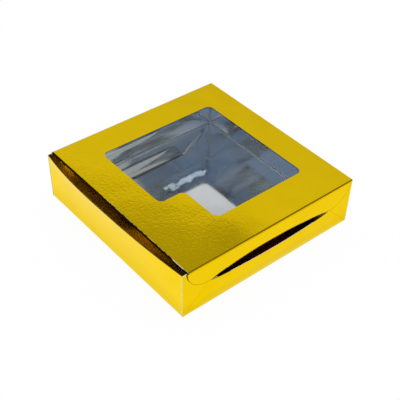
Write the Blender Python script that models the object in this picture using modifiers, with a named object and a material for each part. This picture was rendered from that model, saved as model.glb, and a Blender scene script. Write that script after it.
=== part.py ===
"""A pastry box: one creased blank of gold foil board, glued at its corners, with a clear film window.

Every panel between two creases is an object of its own. The box stands on the XY plane, its origin is
the middle of the bottom, the tuck flap is at the front (-Y), the lid turns at the rear (+Y) and the two
slit sides are at the left and right (-X and +X).
"""

import math

import bmesh
import bpy
from mathutils import Vector

# Sheets
BOARD = 0.0005
FILM = 0.0002
CREASE_GAP = 0.0003

# Tray
TRAY_HALF_WIDTH = 0.100
TRAY_HALF_DEPTH = 0.100
BOX_HEIGHT = 0.051

# Front wall, which springs outwards at its free top edge
FRONT_WALL_DROP = 0.0015
FRONT_LEAN = 0.0015
FRONT_BOW = 0.0054
FRONT_BOW_SKEW_SHARE = 0.25
FRONT_BOW_POWER = 2.5

# Slit sides: creases at 45 degrees run from the corners to the ends of the slit
SLIT_HEIGHT = 0.0275
LIP_BOW = 0.003
LIP_STEP_POWER = 20
UPPER_STRIP_BOW = 0.0025

# Glue tabs behind the corner gussets
TAB_DEPTH = 0.016
TAB_RELIEF = 0.003

# Lid and its window, with the board kept in one corner of the window
LID_FRONT_RELIEF = 0.003
WINDOW_MARGIN_LEFT = 0.0313
WINDOW_MARGIN_RIGHT = 0.0375
WINDOW_MARGIN_REAR = 0.0292
WINDOW_MARGIN_FRONT = 0.0359
WINDOW_RADIUS = 0.006
KEPT_CORNER_WIDTH = 0.0447
KEPT_CORNER_DEPTH = 0.0269
KEPT_CORNER_RADIUS = 0.007
FILM_MARGIN = 0.008

# Tuck flap
TUCK_DEPTH = 0.038
TUCK_SIDE_INSET = 0.0035
TUCK_RADIUS = 0.020
TUCK_SLANT = math.radians(4.0)

# Side flaps, whose tongues go through the slits and behind the lower strips
FLAP_END_INSET = 0.003
TONGUE_HALF_LENGTH = 0.064
TONGUE_TAPER = 0.0135
TONGUE_DEPTH = 0.0155
TONGUE_RADIUS = 0.005

# Places that follow from the sizes above
WALL_FOOT = BOARD + CREASE_GAP
WALL_TOP = BOX_HEIGHT - BOARD - CREASE_GAP
FRONT_WALL_TOP = BOX_HEIGHT - FRONT_WALL_DROP
WALL_INSET = BOARD + CREASE_GAP
LID_HALF_WIDTH = TRAY_HALF_WIDTH + CREASE_GAP + BOARD
LID_FRONT = -(TRAY_HALF_DEPTH - LID_FRONT_RELIEF)
LID_REAR = TRAY_HALF_DEPTH
SLIT_HALF_LENGTH = TRAY_HALF_DEPTH - SLIT_HEIGHT
DIAGONAL_GAP = CREASE_GAP * math.sqrt(2)
FLAP_HALF_LENGTH = TRAY_HALF_DEPTH - FLAP_END_INSET
FLAP_FOOT = SLIT_HEIGHT + CREASE_GAP
LIP_STEP = BOARD + CREASE_GAP + BOARD

# Fineness of the curves
ARC_STEPS = 8
PANEL_COLUMNS = 16
PANEL_ROWS = 6

# Directions in which a flat panel lies: its outline's X and Y become these world axes
FLAT = (0.0, 0.0, 0.0)
FACING_FRONT = (math.pi / 2, 0.0, 0.0)
FACING_SIDE = (math.pi / 2, 0.0, math.pi / 2)

# Finishes
GOLD = (0.93, 0.66, 0.02, 1.0)
GOLD_ROUGHNESS = 0.12
CLEAR = (0.95, 0.97, 0.98, 0.2)
CLEAR_ROUGHNESS = 0.05


def clear_scene():
    for old in list(bpy.data.objects):
        bpy.data.objects.remove(old, do_unlink=True)


def new_collection(name):
    collection = bpy.data.collections.new(name)
    bpy.context.scene.collection.children.link(collection)
    return collection


def finish_material(name, colour, roughness, metallic):
    material = bpy.data.materials.new(name)
    material.use_nodes = True
    shader = material.node_tree.nodes["Principled BSDF"]
    shader.inputs["Base Color"].default_value = colour
    shader.inputs["Roughness"].default_value = roughness
    shader.inputs["Metallic"].default_value = metallic
    shader.inputs["Alpha"].default_value = colour[3]
    material.diffuse_color = colour
    return material


def gold_foil_board():
    return finish_material("gold_foil_board", GOLD, GOLD_ROUGHNESS, 1.0)


def clear_film():
    return finish_material("clear_film", CLEAR, CLEAR_ROUGHNESS, 0.0)


def pivot(name, location, collection, parent=None):
    """An empty on a crease, about which the panels parented to it turn."""
    empty = bpy.data.objects.new(name, None)
    collection.objects.link(empty)
    seat(empty, location, parent)
    return empty


def seat(child, location, parent=None):
    """Place an object by its location in the box's frame, whatever it is parented to."""
    child.location = Vector(location)
    if parent is not None:
        child.parent = parent
        child.location -= world_location(parent)


def world_location(thing):
    if thing.parent is None:
        return thing.location.copy()
    return world_location(thing.parent) + thing.location


def rounded(corners):
    """Points of a closed outline whose corners, given as (x, y, radius), are arcs."""
    points = []
    count = len(corners)
    for index, (x, y, radius) in enumerate(corners):
        corner = Vector((x, y))
        if radius == 0.0:
            points.append(corner)
            continue
        before = (Vector(corners[index - 1][:2]) - corner).normalized()
        after = (Vector(corners[(index + 1) % count][:2]) - corner).normalized()
        half_angle = before.angle(after) / 2
        centre = corner + (before + after).normalized() * (radius / math.sin(half_angle))
        start = corner + before * (radius / math.tan(half_angle)) - centre
        end = corner + after * (radius / math.tan(half_angle)) - centre
        sweep = start.angle_signed(end)
        for step in range(ARC_STEPS + 1):
            turn = -sweep * step / ARC_STEPS
            x_turned = start.x * math.cos(turn) - start.y * math.sin(turn)
            y_turned = start.x * math.sin(turn) + start.y * math.cos(turn)
            points.append(centre + Vector((x_turned, y_turned)))
    return points


def flat_panel(name, outlines, thickness, location, facing, material, collection, parent=None):
    """A sheet cut to its outlines, of which the second and later ones are holes."""
    curve = bpy.data.curves.new(name, "CURVE")
    curve.dimensions = "2D"
    curve.fill_mode = "BOTH"
    curve.extrude = thickness / 2
    for outline in outlines:
        spline = curve.splines.new("POLY")
        spline.points.add(len(outline) - 1)
        for point, place in zip(spline.points, outline):
            point.co = (place.x, place.y, 0.0, 1.0)
        spline.use_cyclic_u = True
    curve.materials.append(material)
    panel = bpy.data.objects.new(name, curve)
    panel.rotation_euler = facing
    collection.objects.link(panel)
    seat(panel, location, parent)
    return panel


def sprung_panel(name, surface, material, collection):
    """A sheet that bows. surface(u, v) is its outer face, with u from -1 to 1 and v from 0 to 1."""
    mesh = bpy.data.meshes.new(name)
    grid = bmesh.new()
    bmesh.ops.create_grid(grid, x_segments=PANEL_COLUMNS, y_segments=PANEL_ROWS, size=1)
    for vertex in grid.verts:
        vertex.co = surface(vertex.co.x, (vertex.co.y + 1) / 2)
    grid.to_mesh(mesh)
    grid.free()
    mesh.materials.append(material)
    panel = bpy.data.objects.new(name, mesh)
    collection.objects.link(panel)
    wall = panel.modifiers.new("board", "SOLIDIFY")
    wall.thickness = BOARD
    wall.offset = -1
    wall.use_even_offset = True
    return panel


def front_lean(z):
    """How far the front wall's two ends lean out of the upright at a height."""
    return FRONT_LEAN * (z - WALL_FOOT) / (FRONT_WALL_TOP - WALL_FOOT)


def bottom_panel(material, collection):
    outline = rounded([
        (-TRAY_HALF_WIDTH, -TRAY_HALF_DEPTH, 0.0),
        (TRAY_HALF_WIDTH, -TRAY_HALF_DEPTH, 0.0),
        (TRAY_HALF_WIDTH, TRAY_HALF_DEPTH, 0.0),
        (-TRAY_HALF_WIDTH, TRAY_HALF_DEPTH, 0.0),
    ])
    flat_panel("bottom_panel", [outline], BOARD, (0.0, 0.0, BOARD / 2), FLAT, material, collection)


def front_wall(material, collection):
    def surface(u, v):
        z = WALL_FOOT + v * (FRONT_WALL_TOP - WALL_FOOT)
        skew = 1 - FRONT_BOW_SKEW_SHARE * u
        out = front_lean(z) + FRONT_BOW * (1 - abs(u) ** FRONT_BOW_POWER) * skew * v * v
        return Vector((u * (TRAY_HALF_WIDTH - WALL_INSET), -TRAY_HALF_DEPTH - out, z))

    sprung_panel("front_wall", surface, material, collection)


def rear_wall(material, collection):
    half_width = TRAY_HALF_WIDTH - WALL_INSET
    outline = rounded([
        (-half_width, WALL_FOOT, 0.0),
        (half_width, WALL_FOOT, 0.0),
        (half_width, WALL_TOP, 0.0),
        (-half_width, WALL_TOP, 0.0),
    ])
    location = (0.0, TRAY_HALF_DEPTH - BOARD / 2, 0.0)
    flat_panel("rear_wall", [outline], BOARD, location, FACING_FRONT, material, collection)


def lower_strip(name, side, material, collection):
    """The lip below the slit. It steps out round the tongue and bows away from it."""
    def surface(u, v):
        z = WALL_FOOT + v * (SLIT_HEIGHT - CREASE_GAP - WALL_FOOT)
        half_length = TRAY_HALF_DEPTH - z - DIAGONAL_GAP
        step = LIP_STEP * (1 - u ** LIP_STEP_POWER)
        bow = LIP_BOW * (1 - u * u)
        out = (step + bow) * v * (2 - v)
        return Vector((side * (TRAY_HALF_WIDTH + out), side * u * half_length, z))

    sprung_panel(name, surface, material, collection)


def upper_strip(name, side, material, collection):
    """The strip above the slit, which the side flap pushes inwards."""
    def surface(u, v):
        z = SLIT_HEIGHT + CREASE_GAP + v * (WALL_TOP - SLIT_HEIGHT - CREASE_GAP)
        rise_share = (z - SLIT_HEIGHT) / (WALL_TOP - SLIT_HEIGHT)
        half_length = SLIT_HALF_LENGTH + rise_share * SLIT_HEIGHT - DIAGONAL_GAP
        inwards = UPPER_STRIP_BOW * (1 - u * u) * (1 - v)
        return Vector((side * (TRAY_HALF_WIDTH - inwards), side * u * half_length, z))

    sprung_panel(name, surface, material, collection)


def gusset(name, side, end, material, collection):
    """A corner triangle between two creases, which the tray folds flat on. end is -1 at the front."""
    lean = front_lean(WALL_TOP) if end < 0 else 0.0
    outline = rounded([
        (end * TRAY_HALF_DEPTH, WALL_FOOT, 0.0),
        (end * SLIT_HALF_LENGTH, SLIT_HEIGHT, 0.0),
        (end * (TRAY_HALF_DEPTH + lean), WALL_TOP, 0.0),
    ])
    location = (side * (TRAY_HALF_WIDTH - BOARD / 2), 0.0, 0.0)
    flat_panel(name, [outline], BOARD, location, FACING_SIDE, material, collection)


def glue_tab(name, side, end, material, collection):
    """The tab at an end of the front or rear wall, glued behind the gusset."""
    low = WALL_FOOT + TAB_RELIEF
    high = WALL_TOP - TAB_RELIEF
    low_lean = front_lean(low) if end < 0 else 0.0
    high_lean = front_lean(high) if end < 0 else 0.0
    fold = TRAY_HALF_DEPTH - WALL_INSET
    outline = rounded([
        (end * (fold + low_lean), low, 0.0),
        (end * (fold - TAB_DEPTH), low + TAB_DEPTH, 0.0),
        (end * (fold - TAB_DEPTH), high - TAB_DEPTH, 0.0),
        (end * (fold + high_lean), high, 0.0),
    ])
    location = (side * (TRAY_HALF_WIDTH - WALL_INSET - BOARD / 2), 0.0, 0.0)
    flat_panel(name, [outline], BOARD, location, FACING_SIDE, material, collection)


def window_edges():
    """The window's left, right, front and rear edges."""
    left = -LID_HALF_WIDTH + WINDOW_MARGIN_LEFT
    right = LID_HALF_WIDTH - WINDOW_MARGIN_RIGHT
    return left, right, LID_FRONT + WINDOW_MARGIN_FRONT, LID_REAR - WINDOW_MARGIN_REAR


def lid_panel(material, collection, hinge):
    outer = rounded([
        (-LID_HALF_WIDTH, LID_FRONT, 0.0),
        (LID_HALF_WIDTH, LID_FRONT, 0.0),
        (LID_HALF_WIDTH, LID_REAR, 0.0),
        (-LID_HALF_WIDTH, LID_REAR, 0.0),
    ])
    left, right, front, rear = window_edges()
    window = rounded([
        (left, front, WINDOW_RADIUS),
        (right - KEPT_CORNER_WIDTH, front, KEPT_CORNER_RADIUS),
        (right - KEPT_CORNER_WIDTH, front + KEPT_CORNER_DEPTH, KEPT_CORNER_RADIUS),
        (right, front + KEPT_CORNER_DEPTH, KEPT_CORNER_RADIUS),
        (right, rear, WINDOW_RADIUS),
        (left, rear, WINDOW_RADIUS),
    ])
    location = (0.0, 0.0, BOX_HEIGHT - BOARD / 2)
    flat_panel("lid_panel", [outer, window], BOARD, location, FLAT, material, collection, hinge)


def window_film(material, collection, hinge):
    left, right, front, rear = window_edges()
    outline = rounded([
        (left - FILM_MARGIN, front - FILM_MARGIN, 0.0),
        (right + FILM_MARGIN, front - FILM_MARGIN, 0.0),
        (right + FILM_MARGIN, rear + FILM_MARGIN, 0.0),
        (left - FILM_MARGIN, rear + FILM_MARGIN, 0.0),
    ])
    location = (0.0, 0.0, BOX_HEIGHT - BOARD - CREASE_GAP - FILM / 2)
    flat_panel("window_film", [outline], FILM, location, FLAT, material, collection, hinge)


def tuck_flap(material, collection, hinge):
    """The lid's front flap, tucked behind the front wall. It folds inwards, so its crease turns inside."""
    fold_height = BOX_HEIGHT - BOARD - CREASE_GAP / 2
    crease = pivot("tuck_flap_crease", (0.0, LID_FRONT + BOARD, fold_height), collection, hinge)
    half_width = LID_HALF_WIDTH - TUCK_SIDE_INSET
    tip = BOX_HEIGHT - TUCK_DEPTH - fold_height
    outline = rounded([
        (-half_width, tip, TUCK_RADIUS),
        (half_width, tip, TUCK_RADIUS),
        (half_width, -CREASE_GAP / 2, 0.0),
        (-half_width, -CREASE_GAP / 2, 0.0),
    ])
    location = (0.0, LID_FRONT + BOARD / 2, fold_height)
    flat_panel("tuck_flap", [outline], BOARD, location, FACING_FRONT, material, collection, crease)
    crease.rotation_euler = (TUCK_SLANT, 0.0, 0.0)


def side_flap(name, side, material, collection, hinge):
    """A side flap of the lid, with rounded ends down to the slit and a tongue behind the lip."""
    place = (side * LID_HALF_WIDTH, 0.0, BOX_HEIGHT)
    crease = pivot(name + "_crease", place, collection, hinge)
    top = -(BOARD + CREASE_GAP)
    foot = FLAP_FOOT - BOX_HEIGHT
    tip = SLIT_HEIGHT - TONGUE_DEPTH - BOX_HEIGHT
    end_radius = min(FLAP_HALF_LENGTH - SLIT_HALF_LENGTH, top - foot - CREASE_GAP)
    tip_half_length = TONGUE_HALF_LENGTH - TONGUE_TAPER
    outline = rounded([
        (-FLAP_HALF_LENGTH, top, 0.0),
        (-FLAP_HALF_LENGTH, foot, end_radius),
        (-TONGUE_HALF_LENGTH, foot, 0.0),
        (-tip_half_length, tip, TONGUE_RADIUS),
        (tip_half_length, tip, TONGUE_RADIUS),
        (TONGUE_HALF_LENGTH, foot, 0.0),
        (FLAP_HALF_LENGTH, foot, end_radius),
        (FLAP_HALF_LENGTH, top, 0.0),
    ])
    location = (side * (LID_HALF_WIDTH - BOARD / 2), 0.0, BOX_HEIGHT)
    flat_panel(name, [outline], BOARD, location, FACING_SIDE, material, collection, crease)


def main():
    clear_scene()
    box = new_collection("pastry_box")
    board = gold_foil_board()
    film = clear_film()
    bottom_panel(board, box)
    front_wall(board, box)
    rear_wall(board, box)
    hinge = pivot("lid_hinge", (0.0, LID_REAR, BOX_HEIGHT), box)
    lid_panel(board, box, hinge)
    window_film(film, box, hinge)
    tuck_flap(board, box, hinge)
    for side_name, side in (("right", 1), ("left", -1)):
        lower_strip(side_name + "_lower_strip", side, board, box)
        upper_strip(side_name + "_upper_strip", side, board, box)
        side_flap(side_name + "_side_flap", side, board, box, hinge)
        for end_name, end in (("front", -1), ("rear", 1)):
            corner = end_name + "_" + side_name
            gusset(corner + "_gusset", side, end, board, box)
            glue_tab(corner + "_glue_tab", side, end, board, box)


main()
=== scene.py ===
"""Foil Pastry Box: a gold foil window carton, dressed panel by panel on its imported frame.

Every board is a creased stretch of one blank: gold foil outside, silver foil inside, white core
at the cut edges. The box stands on the XY plane with its tuck front at -Y, its lid crease at +Y
and its two slit sides at -X and +X. All sizes are in metres.
"""

import contextlib
import math

import bmesh
import bpy
from bpy.props import FloatProperty, FloatVectorProperty, IntProperty, PointerProperty
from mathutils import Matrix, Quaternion, Vector


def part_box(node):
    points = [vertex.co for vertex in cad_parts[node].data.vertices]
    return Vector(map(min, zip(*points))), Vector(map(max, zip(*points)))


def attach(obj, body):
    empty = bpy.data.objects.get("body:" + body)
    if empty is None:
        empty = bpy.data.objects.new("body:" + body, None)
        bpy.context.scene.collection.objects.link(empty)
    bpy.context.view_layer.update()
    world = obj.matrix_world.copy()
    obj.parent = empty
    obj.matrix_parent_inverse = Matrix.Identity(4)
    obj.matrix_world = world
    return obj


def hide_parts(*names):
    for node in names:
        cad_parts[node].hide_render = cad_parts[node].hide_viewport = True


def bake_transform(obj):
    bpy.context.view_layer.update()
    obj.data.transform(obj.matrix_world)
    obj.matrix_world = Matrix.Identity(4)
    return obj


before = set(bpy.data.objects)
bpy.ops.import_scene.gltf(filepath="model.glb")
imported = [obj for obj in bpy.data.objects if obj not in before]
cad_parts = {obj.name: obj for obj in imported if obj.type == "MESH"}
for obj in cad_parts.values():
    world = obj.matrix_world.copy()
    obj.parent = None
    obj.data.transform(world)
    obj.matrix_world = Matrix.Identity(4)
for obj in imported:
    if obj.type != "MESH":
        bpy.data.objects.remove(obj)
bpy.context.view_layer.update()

bl_info = {
    "name": "Foil Pastry Box",
    "version": (1, 0),
    "blender": (4, 5, 0),
    "location": "View3D > Sidebar > Pastry Box",
    "description": "A gold foil pastry box with a clear window, built board by board",
    "category": "Add Mesh",
}

# Places read from the frame
BOTTOM_LOW, BOTTOM_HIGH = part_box("bottom_panel")
REAR_LOW, REAR_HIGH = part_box("rear_wall")
LID_LOW, LID_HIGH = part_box("lid_panel")
TAB_LOW, TAB_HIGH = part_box("rear_right_glue_tab")
FLAP_LOW, FLAP_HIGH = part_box("right_side_flap")
FILM_LOW, FILM_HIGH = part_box("window_film")
FRONT_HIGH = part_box("front_wall")[1]
LIP_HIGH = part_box("right_lower_strip")[1]
STRIP_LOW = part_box("right_upper_strip")[0]
CORNER_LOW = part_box("front_right_gusset")[0]
TUCK_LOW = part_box("tuck_flap")[0]

BOARD = BOTTOM_HIGH.z - BOTTOM_LOW.z
TRAY_HALF = BOTTOM_HIGH.x
WALL_FOOT = REAR_LOW.z
WALL_TOP = REAR_HIGH.z
FRONT_TOP = FRONT_HIGH.z
BOX_HEIGHT = LID_HIGH.z
LID_HALF = LID_HIGH.x
LID_FRONT = LID_LOW.y
LID_REAR = LID_HIGH.y
SLIT_HEIGHT = (LIP_HIGH.z + STRIP_LOW.z) / 2
SLIT_HALF = TRAY_HALF - SLIT_HEIGHT
CREASE_GAP = WALL_FOOT - BOARD
FRONT_LEAN = -CORNER_LOW.y - TRAY_HALF
TAB_DEPTH = TAB_HIGH.y - TAB_LOW.y
STRIP_BOW = TRAY_HALF - BOARD - STRIP_LOW.x
FLAP_HALF = FLAP_HIGH.y

# How the sprung boards bow, as in the frame's own solids
FRONT_BOW = 0.0054
FRONT_BOW_SKEW_SHARE = 0.25
FRONT_BOW_POWER = 2.5
LIP_STEP = BOARD + CREASE_GAP + BOARD
LIP_BOW = LIP_HIGH.x - TRAY_HALF - LIP_STEP
LIP_STEP_POWER = 20
FLAP_HOLLOW = 0.0010

# The window's outline and the rounded ends of the flaps, as cut
WINDOW_LEFT = -LID_HALF + 0.0313
WINDOW_RIGHT = LID_HALF - 0.0375
WINDOW_REAR = LID_REAR - 0.0292
WINDOW_FRONT = LID_FRONT + 0.0359
WINDOW_RADIUS = 0.006
KEPT_CORNER = Vector((WINDOW_RIGHT - 0.0447, WINDOW_FRONT + 0.0269, 0.0))
TONGUE_HALF = 0.064
TONGUE_TAPER_SHARE = 0.79
TONGUE_RADIUS = 0.005
TUCK_SLANT = math.radians(4.0)
TUCK_RADIUS = 0.020
TAB_END_SHARE = 0.3

# The ridges that the creases leave inside, which carry a painted highlight: share of the height,
# rate and start of each wave
BEAD_WIDTH = 0.0012
BEAD_HEIGHT = 0.0003
BEAD_WAVES = ((0.25, 700, 0), (0.15, 1900, 1))

# How finely each board is divided, along and up, and each rounded corner
BOTTOM_GRID = (40, 40)
FRONT_GRID = (64, 16)
REAR_GRID = (40, 12)
SLIT_GRID = (100, 20)
LID_GRID = (60, 60)
FILM_GRID = (30, 30)
FLAP_GRID = (24, 12)
BEAD_GRID = (160, 8)
FOLD_GRID = (100, 2)
WINDOW_STEPS = 10
TUCK_STEPS = 12
FLAP_STEPS = 14
TONGUE_STEPS = 6

# Places of the outside finishes on every board, each followed by its inside and its edge: painted
# shade, painted shadow, split foil with a painted highlight, rubbed corners with a painted
# highlight, and the gap's painted shade with painted glints
PAINTED_SHADE, SHADOWED, CRACKED_AND_HIGHLIT, WORN_AND_HIGHLIT, GAP_SHADED = range(3, 18, 3)

# Where the foil is marked: half the band of painted shade on a crease, the rubbed corners with
# their painted highlight, and the border of painted shadow along a flap
CREASE_HALF = 0.0001
CORNER_MARK_WIDTH = 0.0005
FLAP_BORDER = 0.0004

# From which share of the slit on its edge lies in shadow, and how squarely a marked edge looks
SLIT_TIP_SHARE = 0.7
SLIT_EDGE_SHARE = 0.6
END_EDGE_SHARE = 0.9

# Marks on the lid's folds: degrees of the turn that take painted shade, then how the tuck fold's
# pale dashes run, partly split foil and partly painted highlight, as the rates of their waves, the
# least sum that breaks, and degrees of the turn past a place; then the shares along the fold and
# the turn of the painted highlight near the right corner
SHADED_TURN = (8, 62)
DASH_RATES = (41, 97)
DASH_LEVEL = -0.2
CRACK_AND_HIGHLIGHT_RUN = (-0.2, 13)
PAINTED_HIGHLIGHT_CORNER = (0.80, 0.93, 36)

# The tuck flap's band in the gap, painted with the gap's shade and with painted glints: its depth,
# each glint's place, reach and strength, where its painted shade darkens, the size of a glint's
# patches and the noise that they break at, and its dim shares
TUCK_BAND = 0.018
TUCK_GLINTS = ((-0.077, 0.018, 1.0), (0.040, 0.018, 0.30))
TUCK_DARK_END = (0.052, 0.080)
GLINT_SIZE = 0.005
GLINT_DISTORTION = 0.8
GLINT_BREAKS = (0.35, 0.58)
TUCK_DIM_SHARE = 0.32
TUCK_DARK_SHARE = 0.06
TUCK_ROUGHNESS = 0.15

# How deep the small wrinkles and the slow waves of each foil are
GOLD_RELIEF = (0.00006, 0.0002)
SILVER_RELIEF = (0.00012, 0.0001)
CREASE_HIGHLIGHT_RELIEF = (0.0004, 0.0001)

# Foil: the bend of its wrinkles, how its patches differ, how gold painted with shade deepens in
# colour, and the colour and roughness of the pale matte finish that paints a highlight on the
# crease ridges
WRINKLE_DISTORTION = 0.6
PATCH_SHARES = (0.93, 1.05)
SHADE_POWER = 1.3
CREASE_HIGHLIGHT_COLOUR = (0.78, 0.90, 1.0)
CREASE_HIGHLIGHT_ROUGHNESS = 0.38

# The lid's wrinkles grow from one depth to another, and are faint elsewhere
HANDLED_REACH = (-0.010, -0.062)
UNHANDLED_SHARE = 0.15

# Bare pulp: the width and depth of its fibres and the share of its colour between them
FIBRE_SIZE = 0.0006
FIBRE_DEPTH = 0.0001
FIBRE_SHARE = 0.7
PULP_ROUGHNESS = 0.9

# The film: its tint, gloss and ripples, and how its shine grows at a flat angle
FILM_TINT = (0.985, 0.99, 0.99, 1.0)
FILM_ROUGHNESS = 0.03
RIPPLE_SIZE = 0.003
RIPPLE_DEPTH = 0.00012
SHINE_POWER = 5.0
SHINE_GROWTH = 0.96
SHINE_LEAST = 0.030

# Where the film is dented: the middle and half sizes of an oval, the tilt inside it, and its
# uneven edge as lumps of a size and strength, from nothing to the full tilt
FILM_DENT = (0.0068, -0.022, 0.0505)
FILM_DENT_SIZE = (0.009, 0.036, 1.0)
FILM_DENT_TILT = (0.168, -0.132, 0.0)
DENT_LUMP_SIZE = 0.012
DENT_LUMP_STRENGTH = 1.6
DENT_EDGE = (1.8, 1.0)

# The room that the foil mirrors: height, red, green and blue up each of its sides
WINDOW_SIDE = (
    (0.000, 1.0, 1.0, 1.0),
    (0.300, 0.70, 0.70, 0.70),
    (0.550, 0.62, 0.62, 0.62),
    (0.655, 0.70, 0.70, 0.70),
    (0.667, 0.58, 0.58, 0.58),
    (0.679, 0.44, 0.44, 0.44),
    (0.700, 0.40, 0.40, 0.40),
    (0.850, 0.36, 0.36, 0.36),
    (1.000, 0.75, 0.75, 0.75),
)
DIM_SIDE = (
    (0.00, 1.0, 1.0, 1.0),
    (0.20, 0.45, 0.48, 0.54),
    (0.45, 0.20, 0.24, 0.32),
    (0.65, 0.08, 0.14, 0.24),
    (0.85, 0.20, 0.22, 0.26),
    (1.00, 0.75, 0.75, 0.75),
)
GREY_SIDE = (
    (0.00, 1.0, 1.0, 1.0),
    (0.30, 0.45, 0.46, 0.44),
    (0.65, 0.28, 0.30, 0.28),
    (1.00, 0.75, 0.75, 0.75),
)

# Where the grey and the window side lie, between which cosines each begins, and how far the
# window side's heights slope
GREY_DIRECTION = (0.665, 0.747, 0.0)
GREY_REACH = (0.30, 0.70)
WINDOW_DIRECTION = (-0.752, 0.659, 0.0)
WINDOW_REACH = (-0.10, 0.60)
WINDOW_SLOPE = -0.172

# A dark patch and a lamp: direction, degrees to the core's edge and to the rim, and colour
ROOM_SPOTS = (
    ((-0.5190, 0.5080, 0.6876), 0.6, 2.2, (0.38, 0.38, 0.38)),
    ((-0.33, 0.29, 0.90), 1.0, 9.0, (5.5, 6.3, 6.7)),
)

# The floor as mirrored: its painted shadow beside the box and its painted gold glow beyond the
# right wall, then how much of its own white the eye sees
PAPER = (0.9, 0.9, 0.9, 1.0)
FLOOR_DARK_REACH = (TRAY_HALF + 0.002, TRAY_HALF + 0.012)
FLOOR_DARK_SHARE = 0.92
FLOOR_GLOW = (0.92, 0.90, 0.45, 1.0)
FLOOR_GLOW_REACH = (TRAY_HALF - 0.005, TRAY_HALF + 0.005)
EYE_SHARE = 0.97

# Where the camera stood
LENS = 77.89
SENSOR = 36.0
CAMERA_AZIMUTH = math.radians(48.3005)
CAMERA_ELEVATION = math.radians(40.849)
CAMERA_ROLL = math.radians(2.751)
CAMERA_DISTANCE = 0.84398
CAMERA_TARGET = Vector((-0.00719, 0.00872, 0.0))

# How often a ray is followed from foil to foil
BOUNCES = 16
GLOSSY_BOUNCES = 12

SMOOTH_ANGLE = math.radians(40)
QUARTER = math.pi / 2
NEAR = 0.00001
UP = Vector((0, 0, 1))
SIDES = (("right", (1, 0)), ("rear", (0, 1)), ("left", (-1, 0)), ("front", (0, -1)))
RIGHT_AND_LEFT = (("right", 1), ("left", -1))
WHITE = (1.0, 1.0, 1.0, 1.0)


def length_setting(name, description, default, low=0.0, high=100.0):
    """A size in metres, shown in the panel."""
    return FloatProperty(name=name, description=description, default=default, min=low, max=high,
                         subtype="DISTANCE", unit="LENGTH")


def share_setting(name, description, default):
    """A share from none to all, shown in the panel."""
    return FloatProperty(name=name, description=description, default=default, min=0.0, max=1.0,
                         subtype="FACTOR")


def colour_setting(name, description, default):
    """A colour, shown in the panel."""
    return FloatVectorProperty(name=name, description=description, default=default, min=0.0,
                               max=1.0, size=3, subtype="COLOR")


class BoardSettings(bpy.types.PropertyGroup):
    """Sizes of the creased board."""

    fold_radius: length_setting(
        "Fold Radius", "Outer radius of a crease after folding", WALL_FOOT, 0.0006, 0.002)
    lid_fold_radius: length_setting(
        "Lid Fold Radius", "Outer radius of the soft creases between lid and flaps",
        0.0014, 0.0006, 0.003)
    fold_steps: IntProperty(
        name="Fold Steps",
        description="How many flats a fold's quarter turn has",
        default=8,
        min=3,
        max=12,
    )


class FoilSettings(bpy.types.PropertyGroup):
    """Colours of the foil, the core and the film."""

    gold: colour_setting("Gold", "Colour of the foil outside", (0.97, 0.665, 0.003))
    silver: colour_setting("Silver", "Colour of the foil inside", (0.91, 0.93, 0.94))
    core: colour_setting("Core", "Colour of the board's pulp at a cut edge", (0.90, 0.86, 0.72))
    # Painted shade on cut edges: the front wall's top edge, the flaps' edges and the lid folds'
    # edges.
    shaded_core: colour_setting(
        "Shaded Core", "Colour of a cut edge that the foil has smeared over", (0.16, 0.11, 0.02))
    # Partly split foil and partly a painted highlight along the tuck fold's top.
    crack_and_highlight: colour_setting(
        "Crack", "Colour of the pulp that shows where the foil has split", (0.66, 0.58, 0.28))
    # Rubbed wear and a painted highlight along the folded corners.
    worn_and_highlit: colour_setting("Worn", "Colour of a rubbed corner", (1.0, 0.88, 0.24))
    # Painted shade and painted glints of the tuck flap in the gap.
    facing: colour_setting(
        "Facing Gold", "Colour of the gold foil that faces the front wall's inside",
        (1.0, 0.40, 0.003))
    # Painted shade along the window's cut edge.
    shaded_window_edge: colour_setting(
        "Window Edge", "Colour of the window's cut edge, in the glue and the film's shade",
        (0.020, 0.027, 0.033))
    gold_edge: colour_setting(
        "Gold Edge Tint", "Tint of the gold foil's shine at a flat angle", (1.0, 0.94, 0.62))
    # Painted shade: the share kept on creases, the lid's side folds, a flap's border and its
    # tongue.
    painted_shade_share: share_setting(
        "Creased Share", "How much of its brightness the gold foil keeps on a crease", 0.45)
    shadow_share: share_setting(
        "Shadow Share", "How much of its brightness the gold foil keeps in the tuck crease", 0.04)
    gold_roughness: share_setting("Gold Roughness", "Roughness of the foil outside", 0.06)
    silver_roughness: share_setting("Silver Roughness", "Roughness of the foil inside", 0.08)
    crinkle_size: length_setting("Crinkle Size", "Width of a small wrinkle in the foil", 0.0027)
    wave_size: length_setting("Wave Size", "Width of a slow wave in the board", 0.045)


class StageSettings(bpy.types.PropertyGroup):
    """The floor that the box stands on."""

    floor_size: length_setting("Floor Size", "Side of the pale floor", 12.0)


# Modelling by hand: one object in edit mode, with its parts selected by place

def take(piece):
    """Select one object alone and make it the active one."""
    bpy.ops.object.select_all(action="DESELECT")
    piece.select_set(True)
    bpy.context.view_layer.objects.active = piece


@contextlib.contextmanager
def editing(piece):
    """Open one object alone in edit mode, with nothing selected in it."""
    take(piece)
    bpy.ops.object.mode_set(mode="EDIT")
    bpy.ops.mesh.select_mode(type="VERT")
    bpy.ops.mesh.select_all(action="DESELECT")
    yield
    bpy.ops.object.mode_set(mode="OBJECT")


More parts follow.
